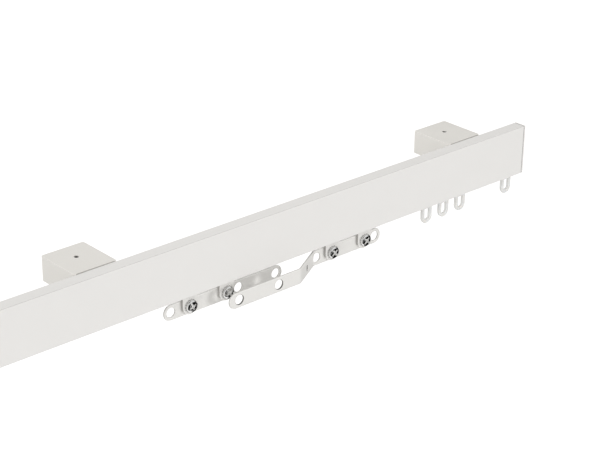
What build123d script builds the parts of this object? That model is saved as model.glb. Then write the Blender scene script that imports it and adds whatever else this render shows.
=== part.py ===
from build123d import *
import os

os.makedirs("parts", exist_ok=True)

# Curtain track for a wall, with two overlapping arms that draw the curtains together.
# X runs along the track, Y towards the wall and Z up. All sizes are in millimetres.
# The origin is the centre of the middle bracket's wall face.

# Rail, an aluminium extrusion
RAIL_LENGTH = 711.0
RAIL_HEIGHT = 35.0
RAIL_DEPTH = 9.0
RAIL_WALL = 1.3
RAIL_EDGE_RADIUS = 0.3
INNER_RADIUS = 0.4
CHANNEL_HEIGHT = 8.0
SLOT_WIDTH = 3.6
GROOVE_OPENING = 5.2
GROOVE_HEIGHT = 8.4
GROOVE_DEPTH = 3.0
GROOVE_LIP = 1.2

# End caps
CAP_THICKNESS = 1.5
CAP_PLUG_LENGTH = 12.0
CAP_PLUG_WALL = 1.2
CAP_PLUG_CORNER = 1.0
CAP_PLUG_CHAMFER = 0.6
PLUG_CLEARANCE = 0.1

# Brackets: a housing that slides over a base screwed to the wall
BRACKET_FROM_RAIL_END = 50.5
BRACKET_WIDTH = 30.0
BRACKET_DEPTH = 33.2
BRACKET_HEIGHT = 16.0
BRACKET_PROUD = 0.5
BRACKET_CORNER = 1.6
BRACKET_EDGE = 0.3
HOUSING_SIDE = 2.0
HOUSING_TOP = 2.5
HOUSING_FRONT = 4.0
HOUSING_CLEARANCE = 0.2
LOCATING_RIB_DEPTH = 0.9
BASE_THICKNESS = 2.5
BASE_CORNER = 1.0
TONGUE_WIDTH = 11.0
TONGUE_THICKNESS = 2.5
TONGUE_LENGTH = 22.0
TONGUE_ROOT_RADIUS = 1.5
WALL_SCREW_SPACING = 18.0
WALL_SCREW_HOLE_RADIUS = 2.1
WALL_SCREW_HEAD_RADIUS = 3.7

# Grub screws of the brackets and end stops
GRUB_RADIUS = 1.5
GRUB_SOCKET_RADIUS = 0.85
GRUB_SOCKET_DEPTH = 1.6
BRACKET_GRUB_LENGTH = 4.0
BRACKET_GRUB_RECESS = 0.5
BRACKET_GRUB_FROM_WALL = 14.4
GRUB_BOSS_RADIUS = 3.6
THREAD_CLEARANCE = 0.05

# Screw and slide nut that pull the rail to a bracket
CLAMP_SCREW_RADIUS = 2.0
CLAMP_HEAD_RADIUS = 3.8
CLAMP_SCREW_LENGTH = 7.6
CLAMP_SOCKET_RADIUS = 1.4
CLAMP_SOCKET_DEPTH = 1.5
SLIDE_NUT_LENGTH = 13.0
SLIDE_NUT_THICKNESS = 2.3
SLIDE_NUT_CLEARANCE = 0.15

# End stops in the channel
END_STOP_LENGTH = 12.0
END_STOP_HEIGHT = 5.0
END_STOP_SCREW_LENGTH = 8.0
END_STOP_GAP = 2.0
STOP_CLEARANCE = 0.1

# Gliders
GLIDER_LENGTH = 9.8
GLIDER_HEAD_HEIGHT = 2.6
GLIDER_HEAD_RADIUS = 1.2
GLIDER_NECK_LENGTH = 6.4
GLIDER_PITCH = 16.2
GLIDER_PARK_GAP = 22.4
GLIDERS_PER_SIDE = 3
END_GLIDER_INSET = 12.5
EYE_WIDTH = 9.5
EYE_DROP = 13.2
EYE_BAR = 1.8
EYE_THICKNESS = 2.0
EYE_EDGE = 0.35
RUNNING_CLEARANCE = 0.2
LIP_CLEARANCE = 0.1

# Carriers of the two arms
CARRIER_LEFT_X = 76.75
CARRIER_RIGHT_X = 192.35
CARRIER_LENGTH = 52.0
CARRIER_HEIGHT = 5.4
CARRIER_FLOOR_GAP = 0.4
CARRIER_POCKET_LENGTH = 8.0
CARRIER_POCKET_WIDTH = 2.6
CARRIER_POCKET_DEPTH = 2.4
TAB_WIDTH = 11.6
TAB_THICKNESS = 2.0
TAB_FRONT_SETBACK = 2.0
TAB_SHOULDER_HEIGHT = 2.2
TAB_EDGE = 0.35

# Wheel sets of the carriers
WHEEL_RADIUS = 3.5
WHEEL_WIDTH = 1.15
WHEEL_EDGE = 0.2
WHEEL_WALL_GAP = 0.15
WHEEL_BASE = 43.0
WHEEL_ARCH_GAP = 1.0
AXLE_RADIUS = 0.75
AXLE_CLEARANCE = 0.05

# Arms of painted steel strip, with their screws and nuts
ARM_WIDTH = 10.5
ARM_THICKNESS = 1.5
ARM_BELOW_RAIL = 8.4
ARM_HOLE_RADIUS = 3.1
ARM_END_MARGIN = 5.25
ARM_BEND_RADIUS = 3.0
SCREW_PITCH = 28.3
SCREW_ABOVE_ARM_MIDDLE = 1.35
SCREW_RADIUS = 2.0
SCREW_LENGTH = 8.0
SCREW_HOLE_CLEARANCE = 0.1
SCREW_HEAD_RADIUS = 4.0
SCREW_HEAD_HEIGHT = 2.5
NUT_FLATS = 7.0
NUT_THICKNESS = 3.2
LEFT_ARM_OUTER_HOLE = -27.35
LEFT_ARM_MIDDLE_HOLE = 24.95
LEFT_ARM_TIP_HOLE = 55.1
RIGHT_ARM_OUTER_HOLE = 25.1
RIGHT_ARM_MIDDLE_HOLE = -25.95
RIGHT_ARM_FRONT_HOLE = -69.25
RIGHT_ARM_TIP_HOLE = -100.95
RIGHT_ARM_TIP_MARGIN = 8.0
CRANK_REAR_BEND = -28.55
CRANK_FRONT_BEND = -51.75
CRANK_FORWARD = 13.4
CRANK_SLOT_HEIGHT = 3.4
CRANK_SLOT_WIDTH = 1.4

# Places that follow from the sizes
rail_rear_y = -BRACKET_DEPTH
rail_mid_y = rail_rear_y - RAIL_DEPTH / 2
rail_front_y = rail_rear_y - RAIL_DEPTH
rail_top_z = BRACKET_HEIGHT / 2 - BRACKET_PROUD
rail_mid_z = rail_top_z - RAIL_HEIGHT / 2
rail_bottom_z = rail_top_z - RAIL_HEIGHT
rail_end_x = RAIL_LENGTH / 2
track_end_x = rail_end_x + CAP_THICKNESS
channel_width = RAIL_DEPTH - 2 * RAIL_WALL
lip_top_z = rail_bottom_z + RAIL_WALL
channel_top_z = lip_top_z + CHANNEL_HEIGHT
groove_inner_y = rail_rear_y - GROOVE_LIP
groove_front_y = groove_inner_y - GROOVE_DEPTH
hollow_bottom_z = channel_top_z + RAIL_WALL
hollow_top_z = -GROOVE_HEIGHT / 2 - RAIL_WALL
hollow_height = hollow_top_z - hollow_bottom_z
slit_front_y = rail_front_y + RAIL_WALL
slit_width = groove_front_y - RAIL_WALL - slit_front_y
slit_top_z = rail_top_z - RAIL_WALL
neck_width = SLOT_WIDTH - 2 * RUNNING_CLEARANCE
arm_mid_z = rail_bottom_z - ARM_BELOW_RAIL
screw_z = arm_mid_z + SCREW_ABOVE_ARM_MIDDLE
tab_front_y = rail_front_y + TAB_FRONT_SETBACK
tab_rear_y = tab_front_y + TAB_THICKNESS
arm_rear_y = tab_rear_y + ARM_THICKNESS
wheel_z = lip_top_z + LIP_CLEARANCE + WHEEL_RADIUS
end_glider_x = track_end_x - END_GLIDER_INSET
end_stop_x = end_glider_x - GLIDER_LENGTH / 2 - END_STOP_GAP - END_STOP_LENGTH / 2
last_glider_x = end_stop_x - END_STOP_LENGTH / 2 - GLIDER_PARK_GAP - GLIDER_LENGTH / 2
bracket_pitch = rail_end_x - BRACKET_FROM_RAIL_END
bracket_places = {"left": -bracket_pitch, "middle": 0.0, "right": bracket_pitch}
side_signs = {"left": -1, "right": 1}
low = (Align.CENTER, Align.MIN)
high = (Align.CENTER, Align.MAX)


def facing_front(x, y):
    """Plane at x and y whose normal points away from the wall and whose local Y is up."""
    return Plane(origin=(x, y, 0), x_dir=(1, 0, 0), z_dir=(0, -1, 0))


def facing_up(x, y, z):
    """Level plane at a point."""
    return Plane(origin=(x, y, z), x_dir=(1, 0, 0), z_dir=(0, 0, 1))


# Rail: glider channel with its slot below, T groove behind for the brackets, and a hollow between
with BuildPart() as rail:
    with BuildSketch(Plane.YZ) as rail_section:
        with Locations((rail_mid_y, rail_mid_z)):
            RectangleRounded(RAIL_DEPTH, RAIL_HEIGHT, RAIL_EDGE_RADIUS)
        with Locations((rail_mid_y, lip_top_z + CHANNEL_HEIGHT / 2)):
            RectangleRounded(channel_width, CHANNEL_HEIGHT, INNER_RADIUS, mode=Mode.SUBTRACT)
        with Locations((rail_mid_y, rail_bottom_z)):
            Rectangle(SLOT_WIDTH, 2 * RAIL_WALL, align=low, mode=Mode.SUBTRACT)
        with Locations((rail_mid_y, hollow_bottom_z + hollow_height / 2)):
            RectangleRounded(channel_width, hollow_height, INNER_RADIUS, mode=Mode.SUBTRACT)
        with Locations((slit_front_y, hollow_top_z - RAIL_WALL)):
            Rectangle(
                slit_width,
                slit_top_z - hollow_top_z + RAIL_WALL,
                align=(Align.MIN, Align.MIN),
                mode=Mode.SUBTRACT,
            )
        with Locations((groove_inner_y - GROOVE_DEPTH / 2, 0)):
            RectangleRounded(GROOVE_DEPTH, GROOVE_HEIGHT, INNER_RADIUS, mode=Mode.SUBTRACT)
        with Locations((rail_rear_y, 0)):
            Rectangle(
                GROOVE_LIP + GROOVE_DEPTH / 2,
                GROOVE_OPENING,
                align=(Align.MAX, Align.CENTER),
                mode=Mode.SUBTRACT,
            )
    extrude(amount=RAIL_LENGTH / 2, both=True)
rail.part.label = "rail"
export_step(rail.part, "parts/rail.step")

# End caps: a plate over the rail's section, held by a hollow plug and a tongue in the rail's hollow
with BuildPart() as end_cap_right:
    with BuildSketch(Plane.YZ.offset(rail_end_x)) as cap_outline:
        with Locations((rail_mid_y, rail_mid_z)):
            RectangleRounded(RAIL_DEPTH, RAIL_HEIGHT, RAIL_EDGE_RADIUS)
    extrude(amount=CAP_THICKNESS)
    cap_outer_edges = end_cap_right.faces().sort_by(Axis.X)[-1].edges()
    fillet(cap_outer_edges, RAIL_EDGE_RADIUS / 2)
    with BuildSketch(Plane.YZ.offset(rail_end_x)) as cap_plug:
        with Locations((rail_mid_y, hollow_bottom_z + hollow_height / 2)):
            RectangleRounded(
                channel_width - 2 * PLUG_CLEARANCE,
                hollow_height - 2 * PLUG_CLEARANCE,
                CAP_PLUG_CORNER,
            )
    extrude(amount=-CAP_PLUG_LENGTH)
    plug_nose = end_cap_right.faces().sort_by(Axis.X)[0]
    chamfer(plug_nose.edges(), CAP_PLUG_CHAMFER)
    with BuildSketch(Plane.YZ.offset(rail_end_x - CAP_PLUG_LENGTH)) as plug_pocket:
        with Locations((rail_mid_y, hollow_bottom_z + hollow_height / 2)):
            RectangleRounded(
                channel_width - 2 * (PLUG_CLEARANCE + CAP_PLUG_WALL),
                hollow_height - 2 * (PLUG_CLEARANCE + CAP_PLUG_WALL),
                INNER_RADIUS,
            )
    extrude(amount=CAP_PLUG_LENGTH - CAP_PLUG_WALL, mode=Mode.SUBTRACT)
    with BuildSketch(Plane.YZ.offset(rail_end_x)) as cap_tongue:
        with Locations((slit_front_y + slit_width / 2, hollow_top_z + RAIL_WALL)):
            Rectangle(
                slit_width - 2 * PLUG_CLEARANCE,
                slit_top_z - hollow_top_z - RAIL_WALL - PLUG_CLEARANCE,
                align=low,
            )
    extrude(amount=-CAP_PLUG_LENGTH / 2)
end_cap_right.part.label = "end_cap_right"
export_step(end_cap_right.part, "parts/end_cap_right.step")

with BuildPart() as end_cap_left:
    mirror(end_cap_right.part, about=Plane.YZ)
end_cap_left.part.label = "end_cap_left"
export_step(end_cap_left.part, "parts/end_cap_left.step")

# Brackets
cavity_width = BRACKET_WIDTH - 2 * HOUSING_SIDE
cavity_top_z = BRACKET_HEIGHT / 2 - HOUSING_TOP
cavity_bottom_z = -BRACKET_HEIGHT / 2 + HOUSING_SIDE
cavity_depth = BRACKET_DEPTH - HOUSING_FRONT
plate_mid_z = (cavity_top_z + cavity_bottom_z) / 2
grub_bottom_z = BRACKET_HEIGHT / 2 - BRACKET_GRUB_RECESS - BRACKET_GRUB_LENGTH
grub_y = -BRACKET_GRUB_FROM_WALL
clamp_head_y = rail_rear_y + HOUSING_FRONT

for side, bracket_x in bracket_places.items():
    # Housing: a box open at the wall, with a boss for the grub screw and a rib in the rail's groove
    with BuildPart() as housing:
        with BuildSketch(facing_up(bracket_x, 0, -BRACKET_HEIGHT / 2)) as housing_outline:
            with Locations((0, -BRACKET_DEPTH / 2)):
                RectangleRounded(BRACKET_WIDTH, BRACKET_DEPTH, BRACKET_CORNER)
        extrude(amount=BRACKET_HEIGHT)
        rims = housing.edges().group_by(Axis.Z)
        fillet(rims[0] + rims[-1], BRACKET_EDGE)
        with BuildSketch(facing_front(bracket_x, 0)) as cavity:
            with Locations((0, cavity_bottom_z)):
                Rectangle(cavity_width, cavity_top_z - cavity_bottom_z, align=low)
        extrude(amount=cavity_depth, mode=Mode.SUBTRACT)
        with BuildSketch(facing_up(bracket_x, grub_y, grub_bottom_z)) as grub_boss:
            Circle(GRUB_BOSS_RADIUS)
        extrude(amount=BRACKET_HEIGHT / 2 - HOUSING_TOP / 2 - grub_bottom_z)
        with BuildSketch(facing_up(bracket_x, grub_y, grub_bottom_z)) as grub_hole:
            Circle(GRUB_RADIUS + THREAD_CLEARANCE)
        extrude(amount=BRACKET_HEIGHT, mode=Mode.SUBTRACT)
        with BuildSketch(facing_front(bracket_x, rail_rear_y)) as locating_rib:
            Rectangle(BRACKET_WIDTH - 2 * BRACKET_CORNER, GROOVE_OPENING - 2 * HOUSING_CLEARANCE)
        extrude(amount=LOCATING_RIB_DEPTH)
        with Locations(facing_front(bracket_x, clamp_head_y).rotated((180, 0, 0))):
            CounterSinkHole(
                CLAMP_SCREW_RADIUS + THREAD_CLEARANCE,
                CLAMP_HEAD_RADIUS + THREAD_CLEARANCE,
                depth=HOUSING_FRONT + 2 * LOCATING_RIB_DEPTH,
            )
    housing.part.label = f"bracket_{side}_housing"
    export_step(housing.part, f"parts/bracket_{side}_housing.step")

    # Base: a plate against the wall with a tongue under the grub screw
    with BuildPart() as base:
        with BuildSketch(facing_front(bracket_x, 0)) as plate:
            with Locations((0, plate_mid_z)):
                RectangleRounded(
                    cavity_width - 2 * HOUSING_CLEARANCE,
                    cavity_top_z - cavity_bottom_z - 2 * HOUSING_CLEARANCE,
                    BASE_CORNER,
                )
        extrude(amount=BASE_THICKNESS)
        with BuildSketch(facing_front(bracket_x, 0)) as tongue:
            with Locations((0, grub_bottom_z)):
                Rectangle(TONGUE_WIDTH, TONGUE_THICKNESS, align=high)
        extrude(amount=TONGUE_LENGTH)
        plate_front = base.faces().filter_by(Axis.Y).group_by(Axis.Y)[1][0]
        tongue_root = plate_front.inner_wires()[0].edges().sort_by(Axis.Z)[0]
        fillet(tongue_root, TONGUE_ROOT_RADIUS)
        tongue_tip = base.faces().sort_by(Axis.Y)[0].edges().filter_by(Axis.Z)
        fillet(tongue_tip, TONGUE_ROOT_RADIUS)
        with Locations(facing_front(bracket_x, -BASE_THICKNESS)):
            with Locations((-WALL_SCREW_SPACING / 2, plate_mid_z), (WALL_SCREW_SPACING / 2, plate_mid_z)):
                CounterSinkHole(WALL_SCREW_HOLE_RADIUS, WALL_SCREW_HEAD_RADIUS)
    base.part.label = f"bracket_{side}_base"
    export_step(base.part, f"parts/bracket_{side}_base.step")

# Slide nuts in the rail's groove, one for each bracket
with BuildPart() as slide_nuts:
    for bracket_x in bracket_places.values():
        with BuildSketch(facing_front(bracket_x, groove_inner_y)) as nut_outline:
            RectangleRounded(
                SLIDE_NUT_LENGTH,
                GROOVE_HEIGHT - 2 * SLIDE_NUT_CLEARANCE,
                INNER_RADIUS + SLIDE_NUT_CLEARANCE,
            )
            Circle(CLAMP_SCREW_RADIUS + THREAD_CLEARANCE, mode=Mode.SUBTRACT)
        extrude(amount=SLIDE_NUT_THICKNESS)
    chamfer(slide_nuts.edges().filter_by(Axis.X), INNER_RADIUS)
slide_nuts.part.label = "bracket_slide_nuts"
export_step(slide_nuts.part, "parts/bracket_slide_nuts.step")

# Countersunk screws from inside the housings into the slide nuts
with BuildPart() as clamp_screws:
    for bracket_x in bracket_places.values():
        with BuildSketch(Plane(origin=(bracket_x, clamp_head_y, 0), z_dir=(0, 0, 1))) as half_profile:
            with BuildLine():
                Polyline(
                    (0, 0),
                    (CLAMP_HEAD_RADIUS, 0),
                    (CLAMP_SCREW_RADIUS, -CLAMP_HEAD_RADIUS + CLAMP_SCREW_RADIUS),
                    (CLAMP_SCREW_RADIUS, -CLAMP_SCREW_LENGTH),
                    (0, -CLAMP_SCREW_LENGTH),
                    close=True,
                )
            make_face()
        revolve(axis=Axis((bracket_x, clamp_head_y, 0), (0, 1, 0)))
        with BuildSketch(facing_front(bracket_x, clamp_head_y)) as socket:
            RegularPolygon(CLAMP_SOCKET_RADIUS, 6)
        extrude(amount=CLAMP_SOCKET_DEPTH, mode=Mode.SUBTRACT)
clamp_screws.part.label = "bracket_clamp_screws"
export_step(clamp_screws.part, "parts/bracket_clamp_screws.step")

# Grub screws in the bracket tops, each with a hexagon socket
with BuildPart() as bracket_grub_screws:
    for bracket_x in bracket_places.values():
        with BuildSketch(facing_up(bracket_x, grub_y, grub_bottom_z)) as grub:
            Circle(GRUB_RADIUS)
        extrude(amount=BRACKET_GRUB_LENGTH)
        with BuildSketch(facing_up(bracket_x, grub_y, grub_bottom_z + BRACKET_GRUB_LENGTH)) as socket:
            RegularPolygon(GRUB_SOCKET_RADIUS, 6)
        extrude(amount=-GRUB_SOCKET_DEPTH, mode=Mode.SUBTRACT)
bracket_grub_screws.part.label = "bracket_grub_screws"
export_step(bracket_grub_screws.part, "parts/bracket_grub_screws.step")

# End stops: blocks clamped in the channel by a grub screw against its roof
for side, sign in side_signs.items():
    stop_x = sign * end_stop_x
    with BuildPart() as end_stop:
        with BuildSketch(facing_up(stop_x, rail_mid_y, lip_top_z)) as stop_block:
            Rectangle(END_STOP_LENGTH, channel_width - 2 * STOP_CLEARANCE)
        extrude(amount=END_STOP_HEIGHT)
        chamfer(end_stop.edges().filter_by(Axis.X), INNER_RADIUS)
        with BuildSketch(facing_up(stop_x, rail_mid_y, rail_bottom_z)) as stop_neck:
            Rectangle(END_STOP_LENGTH, SLOT_WIDTH - 2 * STOP_CLEARANCE)
        extrude(amount=RAIL_WALL)
        with BuildSketch(facing_up(stop_x, rail_mid_y, rail_bottom_z)) as stop_hole:
            Circle(GRUB_RADIUS + THREAD_CLEARANCE)
        extrude(amount=RAIL_HEIGHT / 2, mode=Mode.SUBTRACT)
    end_stop.part.label = f"end_stop_{side}"
    export_step(end_stop.part, f"parts/end_stop_{side}.step")

with BuildPart() as end_stop_screws:
    for sign in side_signs.values():
        stop_screw_bottom = facing_up(
            sign * end_stop_x, rail_mid_y, channel_top_z - END_STOP_SCREW_LENGTH
        )
        with BuildSketch(stop_screw_bottom) as grub:
            Circle(GRUB_RADIUS)
        extrude(amount=END_STOP_SCREW_LENGTH)
        with BuildSketch(stop_screw_bottom) as socket:
            RegularPolygon(GRUB_SOCKET_RADIUS, 6)
        extrude(amount=GRUB_SOCKET_DEPTH, mode=Mode.SUBTRACT)
end_stop_screws.part.label = "end_stop_screws"
export_step(end_stop_screws.part, "parts/end_stop_screws.step")

# Gliders: a head that runs on the channel's lips, a neck in the slot and an eye below the rail
glider_places = {}
for side, sign in side_signs.items():
    for number in range(GLIDERS_PER_SIDE):
        glider_x = last_glider_x - number * GLIDER_PITCH
        glider_places[f"glider_{side}_{GLIDERS_PER_SIDE - number}"] = sign * glider_x
    glider_places[f"glider_{side}_end"] = sign * end_glider_x

eye_top_z = rail_bottom_z - RUNNING_CLEARANCE
eye_bottom_z = rail_bottom_z - EYE_DROP
head_bottom_z = lip_top_z + LIP_CLEARANCE
head_width = channel_width - 2 * RUNNING_CLEARANCE

for glider_name, glider_x in glider_places.items():
    with BuildPart() as glider:
        with BuildSketch(facing_front(glider_x, rail_mid_y)) as eye:
            with Locations((0, eye_bottom_z + EYE_WIDTH / 2)):
                Circle(EYE_WIDTH / 2)
                Rectangle(EYE_WIDTH, eye_top_z - eye_bottom_z - EYE_WIDTH / 2, align=low)
                Circle(EYE_WIDTH / 2 - EYE_BAR, mode=Mode.SUBTRACT)
                Rectangle(
                    EYE_WIDTH - 2 * EYE_BAR,
                    eye_top_z - eye_bottom_z - EYE_WIDTH / 2 - EYE_BAR,
                    align=low,
                    mode=Mode.SUBTRACT,
                )
            fillet(eye.vertices().group_by(Axis.Y)[-1], EYE_BAR)
        extrude(amount=EYE_THICKNESS / 2, both=True)
        eye_faces = glider.faces().filter_by(Axis.Y)
        fillet(eye_faces.edges(), EYE_EDGE)
        with BuildSketch(facing_up(glider_x, rail_mid_y, eye_top_z - EYE_BAR / 2)) as neck:
            RectangleRounded(GLIDER_NECK_LENGTH, neck_width, INNER_RADIUS)
        extrude(amount=head_bottom_z - eye_top_z + EYE_BAR)
        with BuildSketch(facing_up(glider_x, rail_mid_y, head_bottom_z)) as head:
            RectangleRounded(GLIDER_LENGTH, head_width, GLIDER_HEAD_RADIUS)
        extrude(amount=GLIDER_HEAD_HEIGHT)
        chamfer(glider.edges().group_by(Axis.Z)[-1], INNER_RADIUS)
    glider.part.label = glider_name
    export_step(glider.part, f"parts/{glider_name}.step")

# Carriers: a moulded body between the wheels, with two necks in the slot and a tab on each neck
carrier_bottom_z = lip_top_z + CARRIER_FLOOR_GAP
carrier_top_z = carrier_bottom_z + CARRIER_HEIGHT
guide_length = WHEEL_BASE - 2 * (WHEEL_RADIUS + WHEEL_ARCH_GAP)
shoulder_top_z = rail_bottom_z - RUNNING_CLEARANCE
neck_rear_y = rail_mid_y + neck_width / 2
carrier_places = {"left": CARRIER_LEFT_X, "right": CARRIER_RIGHT_X}
screw_spots = [(-SCREW_PITCH / 2, screw_z), (SCREW_PITCH / 2, screw_z)]

for side, carrier_x in carrier_places.items():
    with BuildPart() as carrier:
        with BuildSketch(facing_front(carrier_x, tab_rear_y)) as tabs:
            with Locations(screw_spots):
                Circle(TAB_WIDTH / 2)
                Rectangle(TAB_WIDTH, shoulder_top_z - screw_z, align=low)
        extrude(amount=TAB_THICKNESS)
        fillet(carrier.faces().group_by(Axis.Y)[0].edges(), TAB_EDGE)
        with BuildSketch(facing_up(carrier_x, neck_rear_y, shoulder_top_z)) as shoulders:
            with GridLocations(SCREW_PITCH, 1, 2, 1):
                Rectangle(TAB_WIDTH, neck_rear_y - tab_front_y - TAB_EDGE, align=high)
        extrude(amount=-TAB_SHOULDER_HEIGHT)
        with BuildSketch(facing_up(carrier_x, rail_mid_y, shoulder_top_z)) as necks:
            with GridLocations(SCREW_PITCH, 1, 2, 1):
                Rectangle(TAB_WIDTH, neck_width)
        extrude(amount=carrier_bottom_z - shoulder_top_z)
        with BuildSketch(facing_front(carrier_x, rail_mid_y)) as web:
            with Locations((0, carrier_bottom_z)):
                Rectangle(CARRIER_LENGTH, CARRIER_HEIGHT, align=low)
            fillet(web.vertices(), WHEEL_RADIUS / 2)
        extrude(amount=neck_width / 2, both=True)
        with BuildSketch(facing_up(carrier_x, rail_mid_y, carrier_bottom_z)) as guide:
            RectangleRounded(guide_length, channel_width - 2 * RUNNING_CLEARANCE, INNER_RADIUS)
        extrude(amount=CARRIER_HEIGHT)
        with BuildSketch(facing_up(carrier_x, rail_mid_y, carrier_top_z)) as pockets:
            with GridLocations(CARRIER_POCKET_LENGTH + CARRIER_POCKET_WIDTH, 1, 3, 1):
                RectangleRounded(CARRIER_POCKET_LENGTH, CARRIER_POCKET_WIDTH, INNER_RADIUS)
        extrude(amount=-CARRIER_POCKET_DEPTH, mode=Mode.SUBTRACT)
        with BuildSketch(facing_front(carrier_x, tab_rear_y)) as screw_holes:
            with Locations(screw_spots):
                Circle(SCREW_RADIUS + SCREW_HOLE_CLEARANCE)
        extrude(amount=TAB_THICKNESS, mode=Mode.SUBTRACT)
        with BuildSketch(facing_front(carrier_x, rail_mid_y)) as axle_holes:
            with Locations((-WHEEL_BASE / 2, wheel_z), (WHEEL_BASE / 2, wheel_z)):
                Circle(AXLE_RADIUS + AXLE_CLEARANCE)
        extrude(amount=RAIL_DEPTH, both=True, mode=Mode.SUBTRACT)
    carrier.part.label = f"carrier_{side}"
    export_step(carrier.part, f"parts/carrier_{side}.step")

    # Screws and nuts that hold the arm behind the tabs
    with BuildPart() as arm_screws:
        for screw_x in (carrier_x - SCREW_PITCH / 2, carrier_x + SCREW_PITCH / 2):
            with BuildSketch(Plane(origin=(screw_x, tab_front_y, screw_z))) as half_screw:
                with BuildLine():
                    head_rim = (SCREW_HEAD_RADIUS, -SCREW_HEAD_HEIGHT / 3)
                    Line((0, SCREW_LENGTH), (SCREW_RADIUS, SCREW_LENGTH))
                    Line((SCREW_RADIUS, SCREW_LENGTH), (SCREW_RADIUS, 0))
                    Line((SCREW_RADIUS, 0), (SCREW_HEAD_RADIUS, 0))
                    Line((SCREW_HEAD_RADIUS, 0), head_rim)
                    EllipticalCenterArc(
                        (0, -SCREW_HEAD_HEIGHT / 3),
                        SCREW_HEAD_RADIUS,
                        SCREW_HEAD_HEIGHT * 2 / 3,
                        start_angle=270,
                        arc_size=90,
                    )
                    Line((0, -SCREW_HEAD_HEIGHT), (0, SCREW_LENGTH))
                make_face()
            revolve(axis=Axis((screw_x, tab_front_y, screw_z), (0, 1, 0)))
    arm_screws.part.label = f"arm_{side}_screws"
    export_step(arm_screws.part, f"parts/arm_{side}_screws.step")

    with BuildPart() as arm_nuts:
        for nut_x in (carrier_x - SCREW_PITCH / 2, carrier_x + SCREW_PITCH / 2):
            with BuildSketch(facing_front(nut_x, arm_rear_y)) as hexagon:
                with Locations((0, screw_z)):
                    RegularPolygon(NUT_FLATS / 2, 6, major_radius=False)
                    Circle(SCREW_RADIUS + THREAD_CLEARANCE, mode=Mode.SUBTRACT)
            extrude(amount=-NUT_THICKNESS)
    arm_nuts.part.label = f"arm_{side}_nuts"
    export_step(arm_nuts.part, f"parts/arm_{side}_nuts.step")

    # Wheel sets: two wheels pressed on an axle that turns in the carrier
    for place, wheel_offset in {"inner": -WHEEL_BASE / 2, "outer": WHEEL_BASE / 2}.items():
        wheel_x = carrier_x + wheel_offset
        wheel_outer_y = channel_width / 2 - WHEEL_WALL_GAP
        with BuildPart() as wheels:
            for wheel_side in (-1, 1):
                wheel_face_y = rail_mid_y + wheel_side * wheel_outer_y
                with BuildSketch(facing_front(wheel_x, wheel_face_y)) as disc:
                    with Locations((0, wheel_z)):
                        Circle(WHEEL_RADIUS)
                        Circle(AXLE_RADIUS, mode=Mode.SUBTRACT)
                extrude(amount=wheel_side * WHEEL_WIDTH)
            rims = wheels.edges().filter_by(GeomType.CIRCLE).group_by(SortBy.RADIUS)[-1]
            fillet(rims, WHEEL_EDGE)
        wheels.part.label = f"wheels_{side}_{place}"
        export_step(wheels.part, f"parts/wheels_{side}_{place}.step")

        with BuildPart() as axle:
            with BuildSketch(facing_front(wheel_x, rail_mid_y)) as pin:
                with Locations((0, wheel_z)):
                    Circle(AXLE_RADIUS)
            extrude(amount=wheel_outer_y, both=True)
        axle.part.label = f"axle_{side}_{place}"
        export_step(axle.part, f"parts/axle_{side}_{place}.step")

# Straight arm on the left carrier
left_arm_holes = (LEFT_ARM_OUTER_HOLE, LEFT_ARM_MIDDLE_HOLE, LEFT_ARM_TIP_HOLE)
with BuildPart() as arm_left:
    arm_left_ends = (LEFT_ARM_OUTER_HOLE - ARM_END_MARGIN, LEFT_ARM_TIP_HOLE + ARM_END_MARGIN)
    with BuildSketch(facing_front(CARRIER_LEFT_X, arm_rear_y)) as strip:
        with Locations((sum(arm_left_ends) / 2, arm_mid_z)):
            SlotOverall(arm_left_ends[1] - arm_left_ends[0], ARM_WIDTH)
        with Locations([(hole_x, arm_mid_z) for hole_x in left_arm_holes]):
            Circle(ARM_HOLE_RADIUS, mode=Mode.SUBTRACT)
        with Locations(screw_spots):
            Circle(SCREW_RADIUS + SCREW_HOLE_CLEARANCE, mode=Mode.SUBTRACT)
    extrude(amount=ARM_THICKNESS)
arm_left.part.label = "arm_left"
export_step(arm_left.part, "parts/arm_left.step")

# Cranked arm on the right carrier: bent strip, trimmed to a strip with round ends
right_arm_holes = (
    RIGHT_ARM_OUTER_HOLE,
    RIGHT_ARM_MIDDLE_HOLE,
    RIGHT_ARM_FRONT_HOLE,
    RIGHT_ARM_TIP_HOLE,
)
with BuildPart() as arm_right:
    arm_right_ends = (
        RIGHT_ARM_TIP_HOLE - RIGHT_ARM_TIP_MARGIN,
        RIGHT_ARM_OUTER_HOLE + ARM_END_MARGIN,
    )
    with BuildSketch(facing_up(CARRIER_RIGHT_X, arm_rear_y, arm_mid_z)) as bent_strip:
        with BuildLine():
            FilletPolyline(
                (arm_right_ends[1], 0),
                (CRANK_REAR_BEND, 0),
                (CRANK_FRONT_BEND, -CRANK_FORWARD),
                (arm_right_ends[0], -CRANK_FORWARD),
                radius=ARM_BEND_RADIUS,
            )
            offset(amount=ARM_THICKNESS, side=Side.LEFT)
        make_face()
    extrude(amount=ARM_WIDTH / 2, both=True)
    with BuildSketch(facing_front(CARRIER_RIGHT_X, 0)) as front_outline:
        with Locations((sum(arm_right_ends) / 2, arm_mid_z)):
            SlotOverall(arm_right_ends[1] - arm_right_ends[0], ARM_WIDTH)
        with Locations([(hole_x, arm_mid_z) for hole_x in right_arm_holes]):
            Circle(ARM_HOLE_RADIUS, mode=Mode.SUBTRACT)
        with Locations(screw_spots):
            Circle(SCREW_RADIUS + SCREW_HOLE_CLEARANCE, mode=Mode.SUBTRACT)
        with Locations(((CRANK_REAR_BEND + CRANK_FRONT_BEND) / 2, arm_mid_z)):
            SlotOverall(CRANK_SLOT_HEIGHT, CRANK_SLOT_WIDTH, rotation=90, mode=Mode.SUBTRACT)
    extrude(amount=BRACKET_DEPTH + RAIL_DEPTH + 2 * CRANK_FORWARD, mode=Mode.INTERSECT)
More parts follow.
